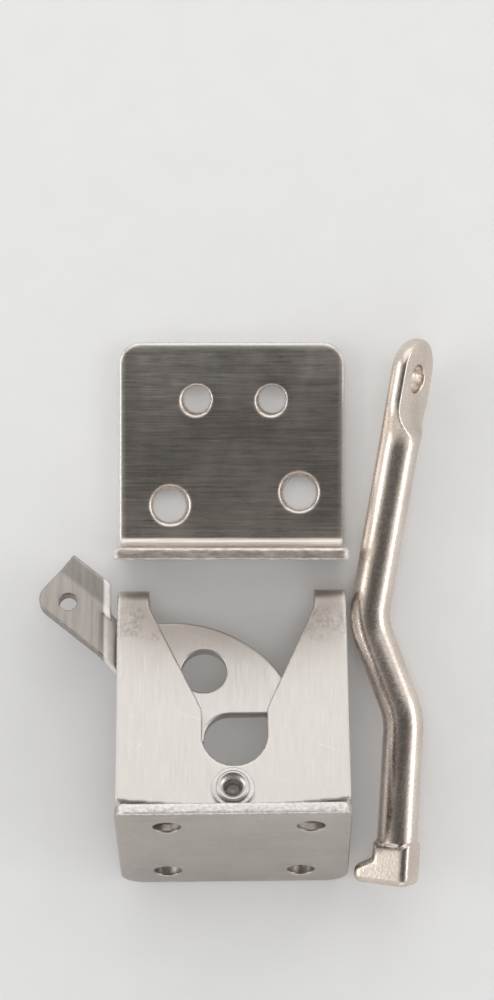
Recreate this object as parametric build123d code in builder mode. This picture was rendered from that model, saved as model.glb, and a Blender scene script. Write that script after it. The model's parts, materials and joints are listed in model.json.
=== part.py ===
from build123d import *
import os
from math import asin, cos, hypot, radians, sin, sqrt, tan

os.makedirs("parts", exist_ok=True)

# Self-adjusting gravity gate latch kit, laid flat on its back: the latch, its loose
# L-shaped mounting bracket and its loose strike bar. All sizes are millimetres.
# Row frame: +X to the right, +Y away past the bracket, +Z up from the flat surface.

# ---------------------------------------------------------------- layout
LAYOUT_X = 2.125              # brings the middle of the footprint to the origin
LAYOUT_Y = 25.100
LATCH_X = -3.00 + LAYOUT_X    # pivot axis of the latch, on its front face
LATCH_Y = -61.95 + LAYOUT_Y
LATCH_HEIGHT = 31.873
LATCH_LEAN = 27.0             # the latch leans back onto its base edge and fold tops
LATCH_TURN = 0.6              # and lies turned this much, seen from above
BRACKET_X = -3.44 + LAYOUT_X
BRACKET_Y = -12.85 + LAYOUT_Y  # outer face of the bracket's flange
BAR_BEND_X = 27.09 + LAYOUT_X  # first bend of the strike bar, on the rod's axis
BAR_BEND_Y = -27.16 + LAYOUT_Y
BAR_TURN = -9.75              # the rod runs towards -Y and a little towards -X
BAR_PITCH = 4.4               # and falls this much from its tab to its first bend
BAR_ROLL = 28.0               # the tab's face looks right and this much up
BAR_SINK = 0.25               # its rounded bend lies this much lower than a sharp one would

# ---------------------------------------------------------------- latch housing
WIDTH = 50.8
HALF = WIDTH / 2
LEAF = 2.3                    # sheet of the folded housing
DEPTH = 12.7                  # over both leaves
TOP = 48.7                    # outer face of the folds, above the pivot
FOLD_RADIUS = 4.5
MOUTH_HALF = 18.2             # half the V mouth, between the uprights
LIP_Y = 43.2                  # the V starts to narrow here
KINK_Y = 18.7                 # the V ends here and the straight slot starts
THROAT_R = 7.12
THROAT_X = 0.43               # the throat is this much right of the pivot
THROAT_Y = 12.65              # centre of the round throat
FOOT_R = 4.7                  # rounded low point of each leaf, about the pivot
FOOT_SLOPE = 5.0              # relief each side, which lets the housing swivel
LIP_R, KINK_R, SIDE_CORNER_R = 4.0, 1.2, 1.0
LEAF_RUN = 10.0               # the folded section is drawn this far below the pivot
CLEAR = 1.0                   # outlines reach this far past the section they cut

# ---------------------------------------------------------------- pivot stack
SHANK_R = 2.4
BORE_R = 2.45
EAR_BORE_R = 2.42
HEAD_R = 4.2
HEAD_FLAT_R, HEAD_TALL = 2.6, 1.5
HEAD_SHOULDER = 0.6           # its dome passes just inside the rim at this share of its height
RIM_STEP = 0.4                # the head and the rolled end narrow this much at their rims
ROLL_R, ROLL_CREST_R, ROLL_BORE_R = 3.65, 2.9, 1.6
ROLL_TALL = 1.1
ROLL_THROAT = 0.5             # halfway down, the rolled mouth is this much wider than the bore
RIVET_BORE_DEPTH = 2.2
WASHER_R = 4.6
SPACER_R = 4.4
SPACER_BORE_R = 2.47
WASHER = 0.8
WASHER_GAP = 0.15
LAYER_GAP = 0.10

# ---------------------------------------------------------------- pawl
PAWL = 2.5
PAWL_FRONT = -3.35            # front face of the pawl inside the housing
TAIL_FRONT = -0.40            # front face of the tail outside the housing
JOG_START_X = -24.7
JOG_END_X = -28.4
JOG_BEND_R = 1.5
CAM_X, CAM_Y, CAM_R = -13.5, 11.8, 29.1
CAM_MID_ANGLE = 60.0          # a point of the cam between the hook and the tail
BOSS_R = 4.4
POCKET_R = 5.5
POCKET_X = -0.7
PADLOCK_X, PADLOCK_Y, PADLOCK_R = -6.2, 29.0, 5.0
TAIL_ANGLE = 139.3            # direction of the tail from the pivot
TAIL_LOW = 5.45               # lower edge of the tail, right of the pivot's line
TAIL_HIGH = 14.8              # crease where the thumb lip starts
TAIL_END = 63.2
TAIL_CORNER_R = 4.0
CABLE_ALONG, CABLE_ACROSS, CABLE_R = 56.7, 10.3, 1.95
THUMB_LIP = 4.8
THUMB_BEND = 12.0
THUMB_START_X = -26.8         # the lip stops short of the housing's side
THUMB_OVERLAP = 1.5           # the lip's strip reaches this far into the tail
ARM_ANGLE = 213.0             # the arm's outer edge is tangent to the boss here
ARM_INNER_ANGLE = 76.6        # the arm's inner edge leaves the boss here
ARM_INNER_X, ARM_INNER_Y = -8.3, 6.5
ELBOW_R = 6.0
HOOK_TIP_R = 1.2
STRIP_LEFT, STRIP_RIGHT = -52.0, 20.0   # the bent strip is longer than the pawl
STRIP_LOW, STRIP_TALL = -8.0, 75.0

# ---------------------------------------------------------------- base plate and ear
PLATE = 2.5
PLATE_TOP = -5.0
PLATE_FRONT = 5.0
PLATE_REAR = -38.2
NEAR_HOLES = (1.2, 15.5, 3.7)  # middle, half spacing, distance behind the front leaf
FAR_HOLES = (0.0, 14.8, 31.0)
PLATE_FRONT_R, PLATE_REAR_R = 2.5, 5.0
SCREW_R = 3.0
EAR_FRONT = -6.9
EAR_REAR = -9.35
EAR_TOP_R = 4.5
EAR_FOOT, EAR_FOOT_TALL = 18.0, 1.0
WELD = 0.8
WELD_LENGTH = 3.6
WELD_X = 6.6

# ---------------------------------------------------------------- mounting bracket
SHEET = 2.7
BRACKET_WIDTH = 50.8
BRACKET_LENGTH = 48.35
FLANGE_HEIGHT = 31.75
BRACKET_BEND_R = 2.0
BRACKET_CORNER_R = 5.0
FLANGE_CORNER_R = 1.5
ROLL_OVER_R = 0.8             # the blank's punched edge, on the bracket's inner side
SMALL_HOLE_R = 3.05
SMALL_HALF, SMALL_DROP, SMALL_SHIFT = 8.45, 12.8, 0.7
LARGE_HOLE_R = 3.75
LARGE_LEFT_X, LARGE_LEFT_DROP = -14.0, 36.7
LARGE_RIGHT_X, LARGE_RIGHT_DROP = 15.3, 33.9
SMALL_RING, LARGE_RING = 0.55, 0.85   # the deburring cones are this much wider
CONE_BORE = 0.6               # and their points are this much narrower than the holes
SLOT_HALF, SLOT_HEIGHT, SLOT_R, SLOT_LENGTH = 15.0, 18.5, 3.2, 10.0

# ---------------------------------------------------------------- strike bar
ROD_R = 4.5
ROD_BEND_R = 14.0
TAB_TO_BEND = 64.3
JOG_LENGTH, JOG_ANGLE = 22.8, 34.1
KEEPER_LENGTH, KEEPER_ANGLE = 28.4, 7.5
TAB_HALF, TAB_THICK = 7.3, 4.6
TAB_INNER = -2.7              # the tab's mounting face, from the rod's axis
TAB_OUTER = TAB_INNER + TAB_THICK
TAB_LENGTH = 14.0
ROD_START = 25.0              # from the tab's end to here the section turns from flat to round
NECK_STEPS = 5
NECK_THICK = 6.5              # the flat section, before its outer side is pressed down
NEARLY_ROUND = 0.99           # a neck section's corners stay just under half its thickness
SIDE_R = 3.2                  # the flat section's sides bulge like the rod's own
PRESS_START, PRESS_END = 15.3, 21.8   # the pressed face leaves the bar in a hollow curve
TAB_HOLE_R, TAB_HOLE_ALONG = 3.15, 9.0
HEEL_LENGTH, HEEL_REACH, HEEL_HALF = 9.3, 8.9, 4.0
HEEL_TOE, HEEL_SLOPE = 3.8, 2.2   # the toe's thickness, then its slope to the rod
HEEL_TOE_R, HEEL_EDGE_R = 1.8, 1.7
HEEL_START = 0.4              # the heel's block overlaps the rod by this much
HEEL_ROOT = 0.3               # and its slope ends this far outside the rod


# ---------------------------------------------------------------- frames of the three items
latch_x = Vector(cos(radians(LATCH_TURN)), sin(radians(LATCH_TURN)), 0)
latch_z = Vector(
    -sin(radians(LATCH_LEAN)) * sin(radians(LATCH_TURN)),
    sin(radians(LATCH_LEAN)) * cos(radians(LATCH_TURN)),
    cos(radians(LATCH_LEAN)),
)
latch_y = latch_z.cross(latch_x)
pivot = Vector(LATCH_X, LATCH_Y, LATCH_HEIGHT)
pivot_axis = Axis(pivot, latch_z)


def latch_layer(depth):
    """Plane of the housing's front face, moved by depth towards the front."""
    return Plane(origin=pivot + latch_z * depth, x_dir=latch_x, z_dir=latch_z)


latch_side = Plane(origin=pivot, x_dir=latch_y, z_dir=latch_x)
latch_section = Plane(origin=pivot, x_dir=latch_x, z_dir=-latch_y)


def tail_point(along, across):
    """A point of the tail, in the latch's own x and y."""
    angle = radians(TAIL_ANGLE)
    return (
        along * cos(angle) + across * sin(angle),
        along * sin(angle) - across * cos(angle),
    )


def corner(sketch, x, y):
    """The corner of a sketch at one point, looked up afresh for every fillet."""
    return [v for v in sketch.vertices() if hypot(v.X - x, v.Y - y) < 0.1]


def round_washer(front, rear, outer_r, bore_r):
    """A flat ring on the pivot axis between two depths."""
    with BuildPart() as ring:
        with BuildSketch(latch_layer(rear)):
            Circle(outer_r)
            Circle(bore_r, mode=Mode.SUBTRACT)
        extrude(amount=front - rear)
    return ring.part


# ---------------------------------------------------------------- base plate
plate_plane = Plane(
    origin=pivot + latch_y * (PLATE_TOP - PLATE), x_dir=latch_x, z_dir=latch_y
)
with BuildPart() as base_plate:
    with BuildSketch(plate_plane) as plate_outline:
        with Locations((0, -(PLATE_FRONT + PLATE_REAR) / 2)):
            Rectangle(WIDTH, PLATE_FRONT - PLATE_REAR)
        fillet(plate_outline.vertices().group_by(Axis.Y)[-1], PLATE_REAR_R)
        fillet(plate_outline.vertices().group_by(Axis.Y)[0], PLATE_FRONT_R)
        for middle, half, behind in (NEAR_HOLES, FAR_HOLES):
            with Locations((middle - half, behind), (middle + half, behind)):
                Circle(SCREW_R, mode=Mode.SUBTRACT)
    extrude(amount=PLATE)

# ---------------------------------------------------------------- pivot ear
with BuildPart() as pivot_ear:
    with BuildSketch(latch_layer(EAR_REAR)):
        Circle(EAR_TOP_R)
        with Locations((0, PLATE_TOP + EAR_FOOT_TALL / 2)):
            Rectangle(EAR_FOOT, EAR_FOOT_TALL)
        make_hull()
        Circle(EAR_BORE_R, mode=Mode.SUBTRACT)
    extrude(amount=EAR_FRONT - EAR_REAR)
    for weld_x in (-WELD_X, WELD_X):
        weld_plane = Plane(
            origin=pivot + latch_x * (weld_x - WELD_LENGTH / 2),
            x_dir=latch_y,
            z_dir=latch_x,
        )
        with BuildSketch(weld_plane):
            with BuildLine():
                Polyline(
                    (PLATE_TOP, EAR_FRONT + WELD),
                    (PLATE_TOP + WELD, EAR_FRONT),
                    (PLATE_TOP + WELD, EAR_REAR),
                    (PLATE_TOP, EAR_REAR - WELD),
                    close=True,
                )
            make_face()
        extrude(amount=WELD_LENGTH)

# ---------------------------------------------------------------- latch housing
foot_tan = tan(radians(FOOT_SLOPE))
foot_point = -FOOT_R / cos(radians(FOOT_SLOPE))
foot_side = foot_point + HALF * foot_tan
with BuildPart() as latch_housing:
    with BuildSketch(latch_side) as fold_section:
        with Locations(((TOP - LEAF_RUN) / 2, -DEPTH / 2)):
            Rectangle(TOP + LEAF_RUN, DEPTH)
        fillet(fold_section.vertices().group_by(Axis.X)[-1], FOLD_RADIUS)
        with BuildSketch(Plane.XY, mode=Mode.SUBTRACT) as fold_inside:
            with Locations(((TOP - LEAF - LEAF_RUN) / 2, -DEPTH / 2)):
                Rectangle(TOP - LEAF + LEAF_RUN, DEPTH - 2 * LEAF)
            fillet(fold_inside.vertices().group_by(Axis.X)[-1], FOLD_RADIUS - LEAF)
    extrude(amount=HALF, both=True)
    with BuildSketch(latch_layer(CLEAR)) as leaf_outline:
        with BuildLine():
            ThreePointArc(
                (THROAT_X - THROAT_R, THROAT_Y),
                (THROAT_X, THROAT_Y - THROAT_R),
                (THROAT_X + THROAT_R, THROAT_Y),
            )
            Polyline(
                (THROAT_X + THROAT_R, THROAT_Y),
                (THROAT_X + THROAT_R, KINK_Y),
                (MOUTH_HALF, LIP_Y),
                (MOUTH_HALF, TOP + CLEAR),
                (HALF, TOP + CLEAR),
                (HALF, foot_side),
                (0, foot_point),
                (-HALF, foot_side),
                (-HALF, TOP + CLEAR),
                (-MOUTH_HALF, TOP + CLEAR),
                (-MOUTH_HALF, LIP_Y),
                (THROAT_X - THROAT_R, KINK_Y),
                (THROAT_X - THROAT_R, THROAT_Y),
            )
        make_face()
        fillet(corner(leaf_outline, 0, foot_point), FOOT_R)
        for side in (-1, 1):
            fillet(corner(leaf_outline, side * MOUTH_HALF, LIP_Y), LIP_R)
            fillet(corner(leaf_outline, THROAT_X + side * THROAT_R, KINK_Y), KINK_R)
            fillet(corner(leaf_outline, side * HALF, foot_side), SIDE_CORNER_R)
        Circle(BORE_R, mode=Mode.SUBTRACT)
    extrude(amount=-(DEPTH + 2 * CLEAR), mode=Mode.INTERSECT)

# ---------------------------------------------------------------- pawl
# The thumb lip is the tail's upper border, bent a little forwards along the crease.
thumb_cos, thumb_sin = cos(radians(THUMB_BEND)), sin(radians(THUMB_BEND))
tail_dir = latch_x * cos(radians(TAIL_ANGLE)) + latch_y * sin(radians(TAIL_ANGLE))
tail_across = latch_x * sin(radians(TAIL_ANGLE)) - latch_y * cos(radians(TAIL_ANGLE))
lip_plane = Plane(
    origin=pivot + tail_dir * TAIL_END, x_dir=tail_across, z_dir=tail_across.cross(latch_z)
)
with BuildPart() as thumb_lip:
    with BuildSketch(lip_plane):
        with BuildLine():
            Polyline(
                (TAIL_HIGH - THUMB_OVERLAP, TAIL_FRONT),
                (TAIL_HIGH, TAIL_FRONT),
                (TAIL_HIGH + THUMB_LIP * thumb_cos, TAIL_FRONT + THUMB_LIP * thumb_sin),
                (
                    TAIL_HIGH + THUMB_LIP * thumb_cos + PAWL * thumb_sin,
                    TAIL_FRONT + THUMB_LIP * thumb_sin - PAWL * thumb_cos,
                ),
                (TAIL_HIGH + PAWL * tan(radians(THUMB_BEND / 2)), TAIL_FRONT - PAWL),
                (TAIL_HIGH - THUMB_OVERLAP, TAIL_FRONT - PAWL),
                close=True,
            )
        make_face()
    extrude(amount=TAIL_END / 2)
    # It is cut off square to the housing's side.
    with BuildSketch(latch_layer(-DEPTH / 2)):
        with Locations((THUMB_START_X + HALF, TOP)):
            Rectangle(WIDTH, 2 * TOP)
    extrude(amount=DEPTH, mode=Mode.SUBTRACT)

jog_rise = TAIL_FRONT - PAWL_FRONT
jog_angle = asin(jog_rise / hypot(jog_rise, JOG_START_X - JOG_END_X))
jog_offset = PAWL * tan(jog_angle / 2)
hook_x = CAM_X + sqrt(CAM_R**2 - (KINK_Y - CAM_Y) ** 2)
# The crease line crosses the cam arc where the tail leaves it.
centre_across = CAM_X * sin(radians(TAIL_ANGLE)) - CAM_Y * cos(radians(TAIL_ANGLE))
centre_along = CAM_X * cos(radians(TAIL_ANGLE)) + CAM_Y * sin(radians(TAIL_ANGLE))
leave_point = tail_point(
    centre_along + sqrt(CAM_R**2 - (TAIL_HIGH - centre_across) ** 2), TAIL_HIGH
)
# The arm's outer edge is a line tangent to the boss, up to the tail's lower edge.
arm_start = (BOSS_R * cos(radians(ARM_ANGLE)), BOSS_R * sin(radians(ARM_ANGLE)))
low_x, low_y = tail_point(0, TAIL_LOW)
step_x, step_y = tail_point(1, 0)
elbow = tail_point(
    (BOSS_R**2 - low_x * arm_start[0] - low_y * arm_start[1])
    / (step_x * arm_start[0] + step_y * arm_start[1]),
    TAIL_LOW,
)
end_low = tail_point(TAIL_END, TAIL_LOW)


def around(centre_x, centre_y, radius, angle):
    """A point on a circle, by its angle in degrees."""
    return (centre_x + radius * cos(radians(angle)), centre_y + radius * sin(radians(angle)))


strip_plane = Plane(origin=pivot + latch_y * STRIP_LOW, x_dir=latch_x, z_dir=-latch_y)
with BuildPart() as pawl:
    with BuildSketch(strip_plane) as bent_strip:
        with BuildLine():
            Polyline(
                (STRIP_RIGHT, PAWL_FRONT),
                (JOG_START_X, PAWL_FRONT),
                (JOG_END_X, TAIL_FRONT),
                (STRIP_LEFT, TAIL_FRONT),
                (STRIP_LEFT, TAIL_FRONT - PAWL),
                (JOG_END_X - jog_offset, TAIL_FRONT - PAWL),
                (JOG_START_X - jog_offset, PAWL_FRONT - PAWL),
                (STRIP_RIGHT, PAWL_FRONT - PAWL),
                close=True,
            )
        make_face()
        fillet(corner(bent_strip, JOG_START_X, PAWL_FRONT), JOG_BEND_R)
        fillet(corner(bent_strip, JOG_END_X - jog_offset, TAIL_FRONT - PAWL), JOG_BEND_R)
        fillet(corner(bent_strip, JOG_END_X, TAIL_FRONT), JOG_BEND_R + PAWL)
        outside = corner(bent_strip, JOG_START_X - jog_offset, PAWL_FRONT - PAWL)
        fillet(outside, JOG_BEND_R + PAWL)
    extrude(amount=-STRIP_TALL)
    with BuildSketch(latch_layer(DEPTH)) as pawl_outline:
        with BuildLine():
            ThreePointArc(
                (hook_x, KINK_Y),
                around(CAM_X, CAM_Y, CAM_R, CAM_MID_ANGLE),
                leave_point,
            )
            Polyline(
                leave_point,
                tail_point(TAIL_END, TAIL_HIGH),
                end_low,
                elbow,
                arm_start,
            )
            ThreePointArc(
                arm_start,
                around(0, 0, BOSS_R, (ARM_ANGLE + 360 + ARM_INNER_ANGLE) / 2),
                around(0, 0, BOSS_R, ARM_INNER_ANGLE),
            )
            Polyline(
                around(0, 0, BOSS_R, ARM_INNER_ANGLE),
                (ARM_INNER_X, ARM_INNER_Y),
                (POCKET_X - POCKET_R, KINK_Y - POCKET_R),
            )
            ThreePointArc(
                (POCKET_X - POCKET_R, KINK_Y - POCKET_R),
                around(POCKET_X, KINK_Y - POCKET_R, POCKET_R, 135),
                (POCKET_X, KINK_Y),
            )
            Line((POCKET_X, KINK_Y), (hook_x, KINK_Y))
        make_face()
        fillet(corner(pawl_outline, end_low[0], end_low[1]), TAIL_CORNER_R)
        fillet(corner(pawl_outline, elbow[0], elbow[1]), ELBOW_R)
        fillet(corner(pawl_outline, hook_x, KINK_Y), HOOK_TIP_R)
        fillet(corner(pawl_outline, ARM_INNER_X, ARM_INNER_Y), HOOK_TIP_R)
        Circle(BORE_R, mode=Mode.SUBTRACT)
        with Locations((PADLOCK_X, PADLOCK_Y)):
            Circle(PADLOCK_R, mode=Mode.SUBTRACT)
        with Locations(tail_point(CABLE_ALONG, CABLE_ACROSS)):
            Circle(CABLE_R, mode=Mode.SUBTRACT)
    extrude(amount=-2 * DEPTH, mode=Mode.INTERSECT)
    add(thumb_lip.part)

# ---------------------------------------------------------------- pivot rivet
# A solid head behind, and in front a hollow end rolled outwards over its washer.
rivet_rear = -DEPTH - WASHER_GAP - WASHER
rivet_front = WASHER_GAP + WASHER
roll_top = rivet_front + ROLL_TALL
with BuildPart() as pivot_rivet:
    with BuildSketch(latch_section):
        with BuildLine():
            Line((0, rivet_rear - HEAD_TALL), (HEAD_FLAT_R, rivet_rear - HEAD_TALL))
            ThreePointArc(
                (HEAD_FLAT_R, rivet_rear - HEAD_TALL),
                (HEAD_R - RIM_STEP, rivet_rear - HEAD_TALL * HEAD_SHOULDER),
                (HEAD_R, rivet_rear),
            )
            Polyline(
                (HEAD_R, rivet_rear),
                (SHANK_R, rivet_rear),
                (SHANK_R, rivet_front),
                (ROLL_R - RIM_STEP, rivet_front),
            )
            ThreePointArc(
                (ROLL_R - RIM_STEP, rivet_front),
                (ROLL_R, rivet_front + ROLL_TALL / 2),
                (ROLL_CREST_R, roll_top),
            )
            ThreePointArc(
                (ROLL_CREST_R, roll_top),
                (ROLL_BORE_R + ROLL_THROAT, rivet_front + ROLL_TALL / 2),
                (ROLL_BORE_R, rivet_front - ROLL_TALL / 2),
            )
            Polyline(
                (ROLL_BORE_R, rivet_front - ROLL_TALL / 2),
                (ROLL_BORE_R, -RIVET_BORE_DEPTH),
                (0, -RIVET_BORE_DEPTH - ROLL_BORE_R / 2),
                (0, rivet_rear - HEAD_TALL),
            )
        make_face()
    revolve(axis=pivot_axis)

# ---------------------------------------------------------------- washers and spacers
front_washer = round_washer(rivet_front, WASHER_GAP, WASHER_R, SPACER_BORE_R)
rear_washer = round_washer(-DEPTH - WASHER_GAP, rivet_rear, WASHER_R, SPACER_BORE_R)
front_spacer = round_washer(
    -LEAF - LAYER_GAP, PAWL_FRONT + LAYER_GAP, SPACER_R, SPACER_BORE_R
)
middle_spacer = round_washer(
    PAWL_FRONT - PAWL - LAYER_GAP, EAR_FRONT, SPACER_R, SPACER_BORE_R
)
rear_spacer = round_washer(
    EAR_REAR, -DEPTH + LEAF + LAYER_GAP, SPACER_R, SPACER_BORE_R
)

# ---------------------------------------------------------------- mounting bracket
bracket_side = Plane(origin=(BRACKET_X, BRACKET_Y, 0), x_dir=(0, 1, 0), z_dir=(1, 0, 0))
bracket_top = Plane(origin=(BRACKET_X, BRACKET_Y, SHEET), x_dir=(1, 0, 0), z_dir=(0, 0, 1))
flange_face = Plane(origin=(BRACKET_X, BRACKET_Y, 0), x_dir=(1, 0, 0), z_dir=(0, -1, 0))
small_y = BRACKET_LENGTH - SMALL_DROP
left_y = BRACKET_LENGTH - LARGE_LEFT_DROP
right_y = BRACKET_LENGTH - LARGE_RIGHT_DROP
# Each hole: middle, radius, width of its deburred ring and how far off centre the ring is.
bracket_holes = (
    (SMALL_SHIFT - SMALL_HALF, small_y, SMALL_HOLE_R, SMALL_RING, -0.35, -0.35),
    (SMALL_SHIFT + SMALL_HALF, small_y, SMALL_HOLE_R, SMALL_RING, -0.35, -0.35),
    (LARGE_LEFT_X, left_y, LARGE_HOLE_R, LARGE_RING, 0.15, 0.05),
    (LARGE_RIGHT_X, right_y, LARGE_HOLE_R, LARGE_RING, -0.15, 0.20),
)
with BuildPart() as mounting_bracket:
    with BuildSketch(bracket_side) as angle_section:
        with BuildLine():
            Polyline(
                (0, 0),
                (BRACKET_LENGTH, 0),
                (BRACKET_LENGTH, SHEET),
                (SHEET, SHEET),
                (SHEET, FLANGE_HEIGHT),
                (0, FLANGE_HEIGHT),
                close=True,
            )
        make_face()
        fillet(corner(angle_section, SHEET, SHEET), BRACKET_BEND_R)
        fillet(corner(angle_section, 0, 0), BRACKET_BEND_R + SHEET)
    extrude(amount=BRACKET_WIDTH / 2, both=True)
    upright = mounting_bracket.edges().filter_by(Axis.Z).group_by(Axis.Y)[-1]
    fillet(upright, BRACKET_CORNER_R)
    flange_ends = mounting_bracket.edges().filter_by(Axis.Y).group_by(Axis.Z)[-1]
    fillet(flange_ends, FLANGE_CORNER_R)
    far_edges = mounting_bracket.edges().filter_by(Axis.X).group_by(Axis.Y)[-1]
    fillet(far_edges.sort_by(Axis.Z)[-1], ROLL_OVER_R)
    for hole_x, hole_y, hole_r, ring, ring_x, ring_y in bracket_holes:
        with Locations(bracket_top * Location((hole_x, hole_y, 0))):
            Hole(hole_r, depth=SHEET)
        with Locations(bracket_top * Location((hole_x + ring_x, hole_y + ring_y, 0))):
            CounterSinkHole(hole_r - CONE_BORE, hole_r + ring, depth=SHEET)
    with BuildSketch(flange_face):
        for side in (-1, 1):
            with Locations((side * SLOT_HALF, SLOT_HEIGHT)):
                SlotOverall(SLOT_LENGTH, 2 * SLOT_R)
    extrude(amount=-SHEET, mode=Mode.SUBTRACT)

# ---------------------------------------------------------------- strike bar
bar_along = Vector(
    sin(radians(BAR_TURN)) * cos(radians(BAR_PITCH)),
    -cos(radians(BAR_TURN)) * cos(radians(BAR_PITCH)),
    -sin(radians(BAR_PITCH)),
)
level = Vector(cos(radians(BAR_TURN)), sin(radians(BAR_TURN)), 0)
bar_up = level.cross(bar_along) * -1
bar_out = level * cos(radians(BAR_ROLL)) + bar_up * sin(radians(BAR_ROLL))
bar_edge = bar_along.cross(bar_out)
bar_bend = Vector(BAR_BEND_X, BAR_BEND_Y, ROD_R / cos(radians(BAR_PITCH)) - BAR_SINK)
bar_start = bar_bend - bar_along * TAB_TO_BEND
bar_plane = Plane(origin=bar_start, x_dir=bar_along, z_dir=bar_edge)
tab_plane = Plane(origin=bar_start + bar_out * TAB_INNER, x_dir=bar_along, z_dir=bar_out)

# The rod's bend points in the plane of its bends: along, outwards.
bend_point = (TAB_TO_BEND, 0)
keeper_start = (
    bend_point[0] + JOG_LENGTH * cos(radians(JOG_ANGLE)),
    JOG_LENGTH * sin(radians(JOG_ANGLE)),
)
keeper_end = (
    keeper_start[0] + KEEPER_LENGTH * cos(radians(KEEPER_ANGLE)),
    keeper_start[1] + KEEPER_LENGTH * sin(radians(KEEPER_ANGLE)),
)
keeper_along = bar_along * cos(radians(KEEPER_ANGLE)) + bar_out * sin(radians(KEEPER_ANGLE))
heel_plane = Plane(
    origin=bar_start + bar_along * keeper_end[0] + bar_out * keeper_end[1],
    x_dir=keeper_along,
    z_dir=bar_edge,
)
# The heel at the far end is pressed out towards the mounting side.
with BuildPart() as heel:
    with BuildSketch(heel_plane) as heel_outline:
        with BuildLine():
            Polyline(
                (-HEEL_START, ROD_R),
                (HEEL_LENGTH, ROD_R),
                (HEEL_LENGTH, -HEEL_REACH),
                (HEEL_LENGTH - HEEL_TOE, -HEEL_REACH),
                (HEEL_LENGTH - HEEL_TOE - HEEL_SLOPE, -ROD_R - HEEL_ROOT),
                (-HEEL_START, -ROD_R),
                close=True,
            )
        make_face()
        toe = [v for v in heel_outline.vertices() if v.X > HEEL_LENGTH - HEEL_TOE - 0.1]
        fillet(toe, HEEL_TOE_R)
    extrude(amount=HEEL_HALF, both=True)
    rims = heel.edges().filter_by(lambda e: abs(e.tangent_at(0.5).dot(bar_edge)) < 0.5)
    fillet(rims, HEEL_EDGE_R)


def across_bar(along):
    """A plane square to the rod's first section; its x is the tab's outward direction."""
    return Plane(origin=bar_start + bar_along * along, x_dir=bar_out, z_dir=bar_along)


def on_rim(edge):
    """True for the outline edges of the flat end's faces, but not for its square end."""
    offset = edge.center() - bar_start
    inner = abs(offset.dot(bar_out) - TAB_INNER) < 0.01
    outer = abs(offset.dot(bar_out) - TAB_INNER - NECK_THICK) < 0.01
    return (inner or outer) and offset.dot(bar_along) < TAB_LENGTH - 0.1


# The tab is the rod's other end pressed flat, with one round end.
with BuildPart() as tab:
    with BuildSketch(tab_plane):
        with BuildLine():
            ThreePointArc((TAB_HALF, TAB_HALF), (0, 0), (TAB_HALF, -TAB_HALF))
            Polyline(
                (TAB_HALF, -TAB_HALF),
                (TAB_LENGTH, -TAB_HALF),
                (TAB_LENGTH, TAB_HALF),
                (TAB_HALF, TAB_HALF),
            )
        make_face()
    extrude(amount=NECK_THICK)
    fillet(tab.edges().filter_by(on_rim), SIDE_R)
    with BuildSketch(tab_plane.offset(TAB_THICK)):
        Rectangle(4 * TAB_LENGTH, 4 * TAB_HALF)
    extrude(amount=NECK_THICK, mode=Mode.SUBTRACT)
    with BuildSketch(tab_plane):
        with Locations((TAB_HOLE_ALONG, 0)):
            Circle(TAB_HOLE_R)
    extrude(amount=NECK_THICK, mode=Mode.SUBTRACT)

# The neck between them widens and thins smoothly from the round section to the flat one.
with BuildPart() as neck:
    for step in range(NECK_STEPS):
        part_way = step / (NECK_STEPS - 1)
        share = part_way * part_way * (3 - 2 * part_way)
        half_across = TAB_HALF + (ROD_R - TAB_HALF) * share
        thick = NECK_THICK + (2 * ROD_R - NECK_THICK) * share
        middle_out = (TAB_INNER + NECK_THICK / 2) * (1 - share)
        with BuildSketch(across_bar(TAB_LENGTH + (ROD_START - TAB_LENGTH) * part_way)):
            if step == NECK_STEPS - 1:
                Circle(ROD_R)
            else:
                with Locations((middle_out, 0)):
                    corner_r = SIDE_R + (NEARLY_ROUND * ROD_R - SIDE_R) * share
                    RectangleRounded(thick, 2 * half_across, corner_r)
    loft()
    with BuildSketch(bar_plane):
        with BuildLine():
            Polyline(
                (PRESS_END, ROD_R),
                (PRESS_END, 2 * ROD_R),
                (TAB_LENGTH, 2 * ROD_R),
                (TAB_LENGTH, TAB_OUTER),
                (PRESS_START, TAB_OUTER),
            )
            ThreePointArc(
                (PRESS_START, TAB_OUTER),
                ((PRESS_START + 2 * PRESS_END) / 3, (2 * TAB_OUTER + ROD_R) / 3),
                (PRESS_END, ROD_R),
            )
        make_face()
    extrude(amount=2 * TAB_HALF, both=True, mode=Mode.SUBTRACT)

with BuildPart() as strike_bar:
    with BuildLine(bar_plane) as rod_line:
        FilletPolyline((ROD_START, 0), bend_point, keeper_start, keeper_end, radius=ROD_BEND_R)
    rod_face = Plane(origin=rod_line.line @ 0, x_dir=bar_out, z_dir=rod_line.line % 0)
    with BuildSketch(rod_face):
        Circle(ROD_R)
    sweep()
    add(heel.part)
    add(neck.part)
    add(tab.part)

# ---------------------------------------------------------------- labels and files
pieces = {
    "base_plate": base_plate.part,
    "pivot_ear": pivot_ear.part,
    "latch_housing": latch_housing.part,
    "pawl": pawl.part,
    "pivot_rivet": pivot_rivet.part,
    "front_washer": front_washer,
    "rear_washer": rear_washer,
    "front_spacer": front_spacer,
    "middle_spacer": middle_spacer,
    "rear_spacer": rear_spacer,
    "mounting_bracket": mounting_bracket.part,
    "strike_bar": strike_bar.part,
}
for name, piece in pieces.items():
    piece.label = name
    export_step(piece, f"parts/{name}.step")
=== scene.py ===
import json
from math import atan2, cos, radians, sin

import bmesh
import bpy
from mathutils import Matrix, Vector, noise
from mathutils.bvhtree import BVHTree


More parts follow.
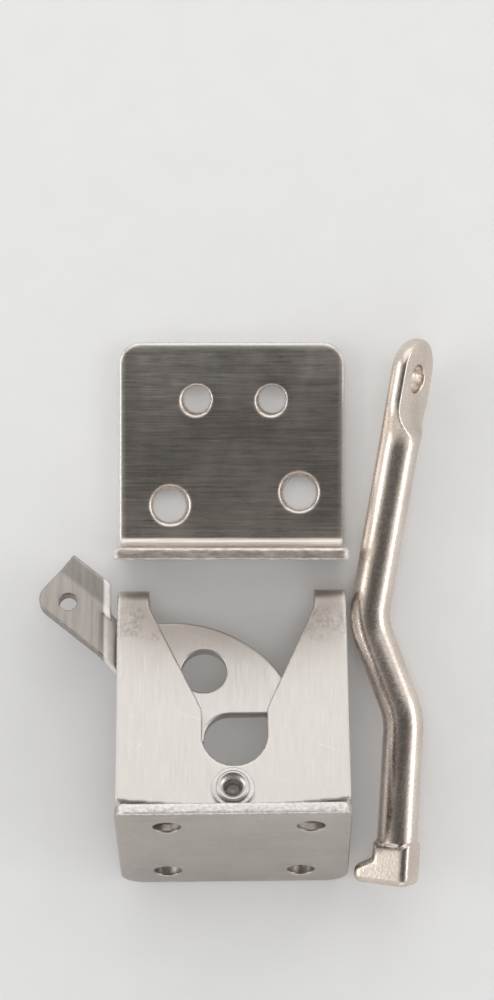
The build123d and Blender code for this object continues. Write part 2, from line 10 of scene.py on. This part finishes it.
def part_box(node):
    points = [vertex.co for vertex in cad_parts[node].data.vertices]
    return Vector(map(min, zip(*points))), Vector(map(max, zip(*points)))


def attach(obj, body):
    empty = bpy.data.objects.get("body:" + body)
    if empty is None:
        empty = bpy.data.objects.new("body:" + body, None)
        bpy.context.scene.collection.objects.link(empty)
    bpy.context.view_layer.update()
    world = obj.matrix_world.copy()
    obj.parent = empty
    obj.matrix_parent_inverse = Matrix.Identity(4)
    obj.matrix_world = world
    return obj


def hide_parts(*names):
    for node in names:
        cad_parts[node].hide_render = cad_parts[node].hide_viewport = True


MM = 0.001
COLOUR_A, COLOUR_B, COLOUR_RESULT = 6, 7, 2   # the colour sockets of a mix node

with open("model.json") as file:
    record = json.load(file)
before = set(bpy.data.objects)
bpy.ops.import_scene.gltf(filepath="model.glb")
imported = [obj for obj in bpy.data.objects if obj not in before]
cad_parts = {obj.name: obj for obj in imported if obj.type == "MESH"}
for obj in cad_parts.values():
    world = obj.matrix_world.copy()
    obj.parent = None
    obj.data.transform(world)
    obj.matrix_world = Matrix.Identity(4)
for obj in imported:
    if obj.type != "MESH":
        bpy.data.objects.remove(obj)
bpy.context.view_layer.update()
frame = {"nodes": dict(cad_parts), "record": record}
record = frame["record"]
joints = {joint["name"]: joint for joint in record["behaviour"]["joints"]}
mounts = {mount["name"]: mount for mount in record["mounts"]}


# ---------------------------------------------------------------- frames of the three items
def frame_matrix(origin, x_dir, z_dir):
    """Row frame to an item's own frame in millimetres: x across, z out of its face."""
    x_dir, z_dir = x_dir.normalized(), z_dir.normalized()
    y_dir = z_dir.cross(x_dir)
    axes = Matrix((x_dir, y_dir, z_dir)).to_4x4()
    return Matrix.Scale(1 / MM, 4) @ axes @ Matrix.Translation(-origin)


swivel_axis = Vector(joints["housing_swivel"]["axis"])
latch_turn = atan2(-swivel_axis.x, swivel_axis.y)
latch_frame = frame_matrix(
    Vector(joints["housing_swivel"]["pos_m"]),
    Vector((cos(latch_turn), sin(latch_turn), 0)),
    swivel_axis,
)
bracket_low, bracket_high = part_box("mounting_bracket")
bracket_frame = frame_matrix(
    Vector(((bracket_low.x + bracket_high.x) / 2, bracket_low.y, 0)),
    Vector((1, 0, 0)),
    Vector((0, 0, 1)),
)
bar_hole = Vector(mounts["strike_tab_hole"]["pos_m"])
bar_out = Vector(mounts["strike_tab_hole"]["axis"])
bar_along = bar_hole - Vector(mounts["strike_tab_face"]["pos_m"])
bar_along = (bar_along - bar_out * bar_along.dot(bar_out)).normalized()
bar_frame = frame_matrix(bar_hole, bar_along, bar_out)


# ---------------------------------------------------------------- camera
CAMERA_HEIGHT = 0.650
CAMERA_LENS = 103.7           # with the default 36 mm sensor along the picture's long side
CAMERA_SIDE = 3.44 * MM       # right of the bracket's middle
CAMERA_BEYOND = 12.85 * MM    # beyond the bracket's flange
CAMERA_CLIP = 0.05

camera_data = bpy.data.cameras.new("camera")
camera_data.lens = CAMERA_LENS
camera_data.clip_start = CAMERA_CLIP
camera = bpy.data.objects.new("camera", camera_data)
camera.location = (
    (bracket_low.x + bracket_high.x) / 2 + CAMERA_SIDE,
    bracket_low.y + CAMERA_BEYOND,
    CAMERA_HEIGHT,
)
bpy.context.scene.collection.objects.link(camera)
bpy.context.scene.camera = camera
bpy.context.scene.view_settings.view_transform = "Standard"


# ---------------------------------------------------------------- shader helpers
BEVEL_SAMPLES = 6
EDGE_FLAT, EDGE_WORN = 0.995, 0.90   # cosines between the true and the rounded normal


class Steel:
    """A metal material under construction, in one item's own millimetres."""

    def __init__(self, name, to_local):
        self.material = bpy.data.materials.new(name)
        self.material.use_nodes = True
        self.tree = self.material.node_tree
        self.shader = self.tree.nodes["Principled BSDF"]
        self.shader.inputs["Metallic"].default_value = 1.0
        coordinates = self.node("ShaderNodeTexCoord")
        mapping = self.node("ShaderNodeMapping")
        location, rotation, scale = to_local.decompose()
        mapping.inputs["Location"].default_value = location
        mapping.inputs["Rotation"].default_value = rotation.to_euler()
        mapping.inputs["Scale"].default_value = scale
        self.link(coordinates.outputs["Object"], mapping.inputs["Vector"])
        self.place = mapping.outputs["Vector"]

    def node(self, kind):
        """A new node in this material's tree."""
        return self.tree.nodes.new(kind)

    def link(self, out_socket, in_socket):
        """Connects two sockets."""
        self.tree.links.new(out_socket, in_socket)

    def put(self, value, socket):
        """Connects a socket, or sets a plain number or colour."""
        if isinstance(value, bpy.types.NodeSocket):
            self.link(value, socket)
        else:
            socket.default_value = value

    def math(self, operation, first, second=0.0):
        """One arithmetic step on two values."""
        made = self.node("ShaderNodeMath")
        made.operation = operation
        self.put(first, made.inputs[0])
        self.put(second, made.inputs[1])
        return made.outputs[0]

    def stretch(self, scale, turn=0.0):
        """The item's own place with each axis scaled, then turned about z."""
        mapping = self.node("ShaderNodeMapping")
        mapping.vector_type = "POINT"
        turned = self.node("ShaderNodeMapping")
        turned.inputs["Rotation"].default_value = (0, 0, radians(turn))
        self.link(self.place, turned.inputs["Vector"])
        self.link(turned.outputs["Vector"], mapping.inputs["Vector"])
        mapping.inputs["Scale"].default_value = scale
        return mapping.outputs["Vector"]

    def noise(self, scale, detail=3.0, rough=0.55, turn=0.0):
        """Noise from 0 to 1 with one feature size for each of the item's axes."""
        made = self.node("ShaderNodeTexNoise")
        self.link(self.stretch(scale, turn), made.inputs["Vector"])
        made.inputs["Scale"].default_value = 1.0
        made.inputs["Detail"].default_value = detail
        made.inputs["Roughness"].default_value = rough
        return made.outputs["Fac"]

    def spread(self, value, low, high, out_low=0.0, out_high=1.0):
        """Maps low..high to out_low..out_high, clamped."""
        made = self.node("ShaderNodeMapRange")
        self.put(value, made.inputs["Value"])
        made.inputs["From Min"].default_value = low
        made.inputs["From Max"].default_value = high
        made.inputs["To Min"].default_value = out_low
        made.inputs["To Max"].default_value = out_high
        return made.outputs["Result"]

    def mix(self, share, first, second):
        """A colour between two others."""
        made = self.node("ShaderNodeMix")
        made.data_type = "RGBA"
        self.put(share, made.inputs["Factor"])
        self.put(first, made.inputs[COLOUR_A])
        self.put(second, made.inputs[COLOUR_B])
        return made.outputs[COLOUR_RESULT]

    def edges(self, radius):
        """1 on worn edges and 0 on flat faces."""
        bevel = self.node("ShaderNodeBevel")
        bevel.samples = BEVEL_SAMPLES
        bevel.inputs["Radius"].default_value = radius * MM
        geometry = self.node("ShaderNodeNewGeometry")
        dot = self.node("ShaderNodeVectorMath")
        dot.operation = "DOT_PRODUCT"
        self.link(bevel.outputs["Normal"], dot.inputs[0])
        self.link(geometry.outputs["Normal"], dot.inputs[1])
        return self.spread(dot.outputs["Value"], EDGE_FLAT, EDGE_WORN)

    def between(self, value, low, high, soft):
        """1 between two values, fading out over the soft distance at both ends."""
        rise = self.spread(value, low - soft, low + soft)
        fall = self.spread(value, high + soft, high - soft)
        return self.math("MULTIPLY", rise, fall)

    def axis(self, name):
        """One coordinate of the item's own place, in millimetres."""
        made = self.node("ShaderNodeSeparateXYZ")
        self.link(self.place, made.inputs["Vector"])
        return made.outputs[name]

    def bump(self, height, distance, under=None):
        """Bumps a normal by a height, distance millimetres deep, over any bump before it."""
        made = self.node("ShaderNodeBump")
        made.inputs["Distance"].default_value = distance * MM
        made.inputs["Strength"].default_value = 1.0
        self.link(height, made.inputs["Height"])
        if under is not None:
            self.link(under, made.inputs["Normal"])
        return made.outputs["Normal"]

    def finish(self, colour, rough, normal):
        """Connects the three results and hands back the material."""
        self.link(colour, self.shader.inputs["Base Color"])
        self.link(rough, self.shader.inputs["Roughness"])
        self.link(normal, self.shader.inputs["Normal"])
        return self.material


BLUE_SHARE = 0.8              # blue falls by this share of what red gains


def grey(value, warmth=0.035):
    """A slightly warm stainless grey."""
    return (value * (1 + warmth), value, value * (1 - warmth * BLUE_SHARE), 1.0)


FINE = 3.1                    # the fine brush lines are this many times closer
SCRATCH_SHARE = 0.45          # how strongly a scratch shows
WORN_EDGE = 0.85              # tone of scratches and worn edges
ROUGHNESS_SPAN = 0.07         # the finish varies this much either way


def sheet_steel(name, to_local, dark, light, rough, grain, mottle, patches):
    """Brushed strip: fine lines along the grain, cloudy tone, scratches and bright worn edges.

    grain is the number of lines per millimetre along each of the item's axes, and mottle the
    share of the clouds in the tone. Each patch is
    (mask, dark, light, grains per millimetre by axis, depth in millimetres, added roughness).
    """
    steel = Steel(name, to_local)
    lines = steel.noise(grain, detail=5.0, rough=0.62)
    fine = steel.noise(tuple(g * FINE for g in grain), detail=3.0, rough=0.6)
    clouds = steel.noise((0.07, 0.07, 0.07), detail=4.0, rough=0.6)
    specks = steel.noise((3.0, 3.0, 3.0), detail=2.0, rough=0.5)
    one_way = steel.noise((0.05, 2.6, 2.6), detail=2.0, rough=0.4, turn=23.0)
    other_way = steel.noise((0.08, 3.4, 3.4), detail=2.0, rough=0.4, turn=-52.0)
    scratch = steel.spread(one_way, low=0.70, high=0.74)
    cross = steel.spread(other_way, low=0.72, high=0.76)
    marks = steel.math("MAXIMUM", scratch, cross)
    tone = steel.math(
        "ADD",
        steel.spread(lines, low=0.32, high=0.68, out_high=1 - mottle),
        steel.spread(clouds, low=0.3, high=0.7, out_high=mottle),
    )
    colour = steel.mix(tone, dark, light)
    colour = steel.mix(steel.math("MULTIPLY", marks, SCRATCH_SHARE), colour, grey(WORN_EDGE))
    uneven = steel.spread(specks, low=0.30, high=0.62, out_low=0.35)
    worn = steel.math("MULTIPLY", steel.edges(radius=0.45), uneven)
    colour = steel.mix(worn, colour, grey(WORN_EDGE))
    smoothest, roughest = rough - ROUGHNESS_SPAN, rough + ROUGHNESS_SPAN
    roughness = steel.math(
        "ADD",
        steel.spread(fine, low=0.3, high=0.7, out_low=smoothest, out_high=roughest),
        steel.spread(clouds, low=0.3, high=0.7, out_low=-0.04, out_high=0.05),
    )
    coarse_share = steel.math("MULTIPLY", lines, 0.7)
    fine_share = steel.math("MULTIPLY", fine, 0.3)
    height = steel.math("ADD", coarse_share, fine_share)
    normal = steel.bump(height, distance=0.012)
    normal = steel.bump(specks, distance=0.006, under=normal)
    for mask_of, patch_dark, patch_light, grains, depth, added in patches:
        mask = mask_of(steel)
        coarse = steel.noise(grains, detail=5.0, rough=0.62)
        patch = steel.mix(steel.spread(coarse, low=0.38, high=0.62), patch_dark, patch_light)
        colour = steel.mix(mask, colour, patch)
        roughness = steel.math("ADD", roughness, steel.math("MULTIPLY", mask, added))
        normal = steel.bump(steel.math("MULTIPLY", mask, coarse), depth, normal)
    return steel.finish(colour, roughness, normal)


# Where each patch starts and is full, in millimetres along one axis of its item.
TORN_FROM, TORN_FULL, TORN_RAGGED = 4.45, 4.65, 0.35
TOOL_LOW, TOOL_HIGH, TOOL_SOFT = 35.0, 43.0, 1.5
SHEAR_FROM, SHEAR_FULL = 31.25, 31.45
SIDE_FROM, SIDE_FULL = 23.6, 25.0
FAR_FROM, FAR_FULL = 46.0, 47.9
HAZE_FROM, HAZE_FULL, HAZE_SHARE = 30.0, 45.0, 0.45
BORDER_SHARE = 0.85
TAIL_FROM, TAIL_FULL = -28.0, -28.6
JOG_LOW, JOG_HIGH, JOG_SOFT = -28.2, -24.9, 0.25


def front_edge(steel):
    """The base plate's torn front edge, with a ragged border to its underside."""
    grains = steel.noise((0.9, 0.9, 0.9), detail=5.0, rough=0.7)
    ragged = steel.spread(grains, low=0.3, high=0.7, out_low=-TORN_RAGGED, out_high=TORN_RAGGED)
    return steel.spread(steel.math("ADD", steel.axis("Z"), ragged), TORN_FROM, TORN_FULL)


def tool_marks(steel):
    """Marks of the folding tool near the tops of the uprights."""
    blobs = steel.noise((0.25, 0.25, 0.25), detail=2.0, rough=0.5)
    blotch = steel.spread(blobs, low=0.42, high=0.56)
    band = steel.between(steel.axis("Y"), TOOL_LOW, TOOL_HIGH, TOOL_SOFT)
    return steel.math("MULTIPLY", blotch, band)


def flange_end(steel):
    """The sheared end of the bracket's flange."""
    return steel.spread(steel.axis("Z"), SHEAR_FROM, SHEAR_FULL)


def painted_border_highlight_and_wisps(steel):
    """The bracket's side and far borders painted light as highlight, with lighter hazy wisps
    inwards of them that grow towards the far border.
    """
    side = steel.spread(steel.math("ABSOLUTE", steel.axis("X")), SIDE_FROM, SIDE_FULL)
    far = steel.spread(steel.axis("Y"), FAR_FROM, FAR_FULL)
    wisps = steel.noise((0.16, 0.16, 0.16), detail=5.0, rough=0.65)
    haze = steel.spread(wisps, low=0.42, high=0.72, out_high=HAZE_SHARE)
    upper = steel.spread(steel.axis("Y"), HAZE_FROM, HAZE_FULL)
    border = steel.math("MULTIPLY", steel.math("MAXIMUM", side, far), BORDER_SHARE)
    return steel.math("MAXIMUM", border, steel.math("MULTIPLY", haze, upper))


def tail_painted_shade(steel):
    """Painted shade: the tail outside the housing is painted much darker than the cam."""
    return steel.spread(steel.axis("X"), TAIL_FROM, TAIL_FULL)


def joggle_painted_highlight(steel):
    """Painted highlight: the joggle between the pawl and its tail is painted near white."""
    return steel.between(steel.axis("X"), JOG_LOW, JOG_HIGH, JOG_SOFT)


NICK_SHARE, NICK_TONE = 0.4, 0.86    # how strongly a nick shows, and its tone
RIM_SHARE = 0.8                      # how strongly the small parts' worn rims show


def bar_material():
    """Tumbled rod: tiny dents, a soft tone and light handling marks."""
    steel = Steel("tumbled_bar", bar_frame)
    dents = steel.noise((1.4, 1.4, 1.4), detail=4.0, rough=0.6)
    clouds = steel.noise((0.05, 0.12, 0.12), detail=4.0, rough=0.6)
    drawn = steel.noise((0.05, 2.4, 2.4), detail=3.0, rough=0.5)
    specks = steel.noise((4.0, 4.0, 4.0), detail=2.0, rough=0.5)
    knocks = steel.noise((0.5, 0.9, 0.9), detail=2.0, rough=0.4, turn=31.0)
    nicks = steel.spread(knocks, low=0.70, high=0.74)
    shade = steel.spread(clouds, low=0.3, high=0.7)
    colour = steel.mix(shade, grey(0.54, warmth=0.14), grey(0.73, warmth=0.13))
    colour = steel.mix(steel.math("MULTIPLY", nicks, NICK_SHARE), colour, grey(NICK_TONE))
    roughness = steel.math(
        "ADD",
        steel.spread(dents, low=0.3, high=0.7, out_low=0.20, out_high=0.32),
        steel.spread(drawn, low=0.3, high=0.7, out_low=-0.03, out_high=0.04),
    )
    normal = steel.bump(dents, distance=0.03)
    normal = steel.bump(drawn, distance=0.01, under=normal)
    normal = steel.bump(specks, distance=0.008, under=normal)
    return steel.finish(colour, roughness, normal)


def turned_material(name, dark, light, rough):
    """Small turned and stamped parts of the pivot: cloudy, finely pitted, with worn rims."""
    steel = Steel(name, latch_frame)
    specks = steel.noise((2.5, 2.5, 2.5), detail=4.0, rough=0.6)
    clouds = steel.noise((0.35, 0.35, 0.35), detail=3.0, rough=0.6)
    colour = steel.mix(steel.spread(clouds, low=0.3, high=0.7), dark, light)
    rims = steel.math("MULTIPLY", steel.edges(radius=0.2), RIM_SHARE)
    colour = steel.mix(rims, colour, grey(WORN_EDGE))
    roughness = steel.spread(specks, low=0.3, high=0.7, out_low=rough - 0.08, out_high=rough + 0.1)
    normal = steel.bump(specks, distance=0.015)
    return steel.finish(colour, roughness, normal)


VERTICAL = (2.2, 0.05, 2.2)   # lines up the latch
ACROSS = (0.045, 2.4, 2.4)    # lines across the width
materials = {
    "latch_sheet": sheet_steel(
        "latch_sheet", latch_frame, grey(0.575, 0.06), grey(0.665, 0.06),
        rough=0.38, grain=VERTICAL, mottle=0.6,
        patches=((tool_marks, grey(0.46, 0.06), grey(0.66, 0.06), (1.3, 1.0, 1.3), 0.07, 0.0),),
    ),
    "pawl_steel": sheet_steel(
        "pawl_steel", latch_frame, grey(0.57, 0.05), grey(0.67, 0.05),
        rough=0.36, grain=VERTICAL, mottle=0.65,
        patches=(
            # the tail's dark grey is painted shade
            (tail_painted_shade, grey(0.28, 0.09), grey(0.34, 0.09), (0.9, 0.06, 0.9), 0.01, 0.0),
            # the joggle's near white is painted highlight
            (joggle_painted_highlight, grey(0.86), grey(0.92), (0.8, 0.8, 0.8), 0.01, 0.15),
        ),
    ),
    "plate_steel": sheet_steel(
        # the darker grey of the base plate and the pivot ear is painted shade
        "plate_steel", latch_frame, grey(0.36, 0.09), grey(0.52, 0.09),
        rough=0.33, grain=ACROSS, mottle=0.6,
        patches=((front_edge, grey(0.72), grey(0.92), (1.2, 1.6, 1.6), 0.05, 0.22),),
    ),
    "bracket_steel": sheet_steel(
        "bracket_steel", bracket_frame, grey(0.42, 0.10), grey(0.78, 0.09),
        rough=0.29, grain=ACROSS, mottle=0.25,
        patches=(
            # painted highlight along the bracket's borders, with lighter wisps inwards
            (painted_border_highlight_and_wisps, grey(0.72, 0.06), grey(0.84), (1.5, 1.5, 1.5), 0.01, 0.16),
            (flange_end, grey(0.56, 0.12), grey(0.82, 0.09), (0.5, 1.3, 1.3), 0.05, 0.16),
        ),
    ),
    "rivet_steel": turned_material("rivet_steel", grey(0.52), grey(0.66), rough=0.32),
    "bar_steel": bar_material(),
}


# ---------------------------------------------------------------- pieces
WELD_GAP = 0.002              # points of the CAD mesh closer than this are joined, in millimetres
FIRST_PASSES = 2              # the voxel steps are smoothed away before the CAD surface is sought
EDGE_GAIN = 12                # how soon a bend between faces counts as a hard edge
EDGE_LEAST = 0.02
WOBBLE_GRAIN = 1.1            # features of the unevenness per millimetre


def dense_copy(node, to_local, voxel):
    """The CAD node as an even, fine mesh in its item's own millimetres, and its surface."""
    data = frame["nodes"][node].data.copy()
    data.transform(to_local)
    exact = bmesh.new()
    exact.from_mesh(data)
    surface = BVHTree.FromBMesh(exact)
    exact.free()
    holder = bpy.data.objects.new("holder", data)
    bpy.context.scene.collection.objects.link(holder)
    weld = holder.modifiers.new("weld", "WELD")
    weld.merge_threshold = WELD_GAP
    remesh = holder.modifiers.new("remesh", "REMESH")
    remesh.mode = "VOXEL"
    remesh.voxel_size = voxel
    remesh.adaptivity = 0.0
    graph = bpy.context.evaluated_depsgraph_get()
    made = bpy.data.meshes.new_from_object(holder.evaluated_get(graph))
    bpy.data.objects.remove(holder)
    return made, surface


def smooth(shape, passes):
    """Averages every point with its neighbours."""
    for _ in range(passes):
        bmesh.ops.smooth_vert(
            shape, verts=shape.verts, factor=0.5, use_axis_x=True, use_axis_y=True, use_axis_z=True
        )


def edge_share(vertex):
    """0 on a flat face, up to 1 on a hard edge."""
    bend = max((1 - vertex.normal.dot(face.normal) for face in vertex.link_faces), default=0)
    return min(1.0, bend * EDGE_GAIN)


def formed_piece(node, name, body, slot, to_local, voxel, passes=3, wobble=0.05, shape_by=None):
    """A stamped or forged part from its CAD node: rounded, slightly uneven edges.

    voxel is the mesh size and wobble the unevenness in millimetres, passes how often the
    edges are smoothed, and shape_by(place) gives more relief for one point.
    """
    data, surface = dense_copy(node, to_local, voxel)
    shape = bmesh.new()
    shape.from_mesh(data)
    smooth(shape, FIRST_PASSES)
    for vertex in shape.verts:
        vertex.co = surface.find_nearest(vertex.co)[0]
    smooth(shape, passes)
    shape.normal_update()
    moves = []
    for vertex in shape.verts:
        amount = 0.0
        share = edge_share(vertex)
        if share > EDGE_LEAST:
            amount = share * wobble * noise.noise(vertex.co * WOBBLE_GRAIN)
        if shape_by is not None:
            amount += shape_by(vertex.co)
        moves.append(vertex.normal * amount)
    for vertex, move in zip(shape.verts, moves):
        vertex.co += move
    shape.to_mesh(data)
    shape.free()
    data.transform(to_local.inverted())
    data.name = name
    data.shade_smooth()
    data.materials.clear()
    data.materials.append(materials[slot])
    piece = bpy.data.objects.new(name, data)
    bpy.context.scene.collection.objects.link(piece)
    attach(piece, body)
    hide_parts(node)
    return piece


FRONT_START, FRONT_FADE = 4.2, 0.6   # the front relief starts here and is full this much on
LOW_START, LOW_FADE = -5.8, 1.2      # its tear grows from here towards the underside
TEAR_DEPTH, FRONT_PITS = 0.28, 0.08
TEAR_GRAIN_X, TEAR_GRAIN_Y, PIT_GRAIN = 0.9, 0.8, 2.6
END_START = 31.2                     # the flange's end relief starts at this height
END_PITS, END_PIT_GRAIN = 0.07, 1.9
END_SPECKS, END_SPECK_GRAIN = 0.04, 4.1


def sheared_front(place):
    """Torn metal along the front edge of the base plate, by its underside."""
    if place.z < FRONT_START:
        return 0.0
    depth = min(1.0, (place.z - FRONT_START) / FRONT_FADE)
    tear = abs(noise.noise(Vector((place.x * TEAR_GRAIN_X, place.y * TEAR_GRAIN_Y, 0.0))))
    pits = noise.noise(place * PIT_GRAIN)
    low_side = min(1.0, max(0.0, (LOW_START - place.y) / LOW_FADE))
    return depth * (-TEAR_DEPTH * tear * low_side + FRONT_PITS * pits)


def sheared_end(place):
    """Pits in the sheared end of the bracket's flange."""
    if place.z < END_START:
        return 0.0
    pits = noise.noise(place * END_PIT_GRAIN)
    specks = noise.noise(place * END_SPECK_GRAIN)
    return END_PITS * pits + END_SPECKS * specks


formed_piece("latch_housing", "housing_sheet", "housing", "latch_sheet", latch_frame, voxel=0.34)
formed_piece("pawl", "pawl_plate", "pawl", "pawl_steel", latch_frame, voxel=0.22, passes=4)
formed_piece(
    "base_plate", "base_sheet", "base", "plate_steel", latch_frame,
    voxel=0.28, wobble=0.06, shape_by=sheared_front,
)
formed_piece("pivot_ear", "ear_sheet", "base", "plate_steel", latch_frame, voxel=0.20)
formed_piece(
    "mounting_bracket", "bracket_sheet", "bracket", "bracket_steel", bracket_frame,
    voxel=0.34, shape_by=sheared_end,
)
formed_piece(
    "pivot_rivet", "rivet_turned", "base", "rivet_steel", latch_frame, voxel=0.13, wobble=0.02
)
formed_piece("strike_bar", "bar_forged", "bar", "bar_steel", bar_frame, voxel=0.26, passes=6)
for ring in ("front_washer", "rear_washer", "front_spacer", "middle_spacer", "rear_spacer"):
    formed_piece(ring, ring + "_ring", "base", "rivet_steel", latch_frame, voxel=0.12, wobble=0.02)


# ---------------------------------------------------------------- floor, world and lights
FLOOR_SIZE = 8
FLOOR_GRAIN = 900             # specks per unit of the floor's own coordinates
FLOOR_DARK, FLOOR_LIGHT, FLOOR_ROUGH = 0.86, 0.90, 0.8
SKY_RED, SKY_BLUE = 1.01, 0.98
# Stops of the sky's brightness by height: 0 is the horizon and all below it, 1 straight up.
SKY = ((0.0, 0.80), (0.62, 0.76), (0.86, 0.16), (1.0, 0.09))


def floor_material():
    """A plain pale surface with a very faint grain."""
    material = bpy.data.materials.new("floor")
    material.use_nodes = True
    tree = material.node_tree
    shader = tree.nodes["Principled BSDF"]
    grain = tree.nodes.new("ShaderNodeTexNoise")
    grain.inputs["Scale"].default_value = FLOOR_GRAIN
    tone = tree.nodes.new("ShaderNodeMapRange")
    tone.inputs["To Min"].default_value = FLOOR_DARK
    tone.inputs["To Max"].default_value = FLOOR_LIGHT
    tree.links.new(grain.outputs["Fac"], tone.inputs["Value"])
    tree.links.new(tone.outputs["Result"], shader.inputs["Base Color"])
    shader.inputs["Roughness"].default_value = FLOOR_ROUGH
    return material


bpy.ops.mesh.primitive_plane_add(size=FLOOR_SIZE)
floor = bpy.context.object
floor.name = "floor"
floor.data.materials.append(floor_material())

world = bpy.data.worlds.new("studio")
bpy.context.scene.world = world
world.use_nodes = True
sky = world.node_tree
sky_place = sky.nodes.new("ShaderNodeTexCoord")
sky_split = sky.nodes.new("ShaderNodeSeparateXYZ")
sky_ramp = sky.nodes.new("ShaderNodeValToRGB")
sky.links.new(sky_place.outputs["Generated"], sky_split.inputs["Vector"])
sky.links.new(sky_split.outputs["Z"], sky_ramp.inputs["Fac"])
sky.links.new(sky_ramp.outputs["Color"], sky.nodes["Background"].inputs["Color"])
while len(sky_ramp.color_ramp.elements) < len(SKY):
    sky_ramp.color_ramp.elements.new(0.5)
for stop, (height, level) in zip(sky_ramp.color_ramp.elements, SKY):
    stop.position = height
    stop.color = (level * SKY_RED, level, level * SKY_BLUE, 1)


def soft_box(name, place, aim, width, tall, power):
    """A large rectangular light that looks at a point."""
    data = bpy.data.lights.new(name, "AREA")
    data.shape = "RECTANGLE"
    data.size = width
    data.size_y = tall
    data.energy = power
    lamp = bpy.data.objects.new(name, data)
    lamp.location = place
    lamp.rotation_euler = (Vector(aim) - Vector(place)).to_track_quat("-Z", "Y").to_euler()
    bpy.context.scene.collection.objects.link(lamp)
    return lamp


CENTRE = (0, 0, 0.02)         # what the lights look at
soft_box("box_beyond", (0.0, 0.75, 0.55), CENTRE, width=1.1, tall=0.90, power=2.2)
soft_box("box_near", (0.0, -0.85, 0.50), CENTRE, width=0.9, tall=0.40, power=0.8)
for side, name in ((-1, "box_left"), (1, "box_right")):
    soft_box(name, (side * 0.85, 0.05, 0.38), CENTRE, width=0.9, tall=0.30, power=1.7)
overhead = soft_box("overhead", (0, 0, 1.5), CENTRE, width=0.9, tall=0.9, power=3.0)
overhead.visible_glossy = False
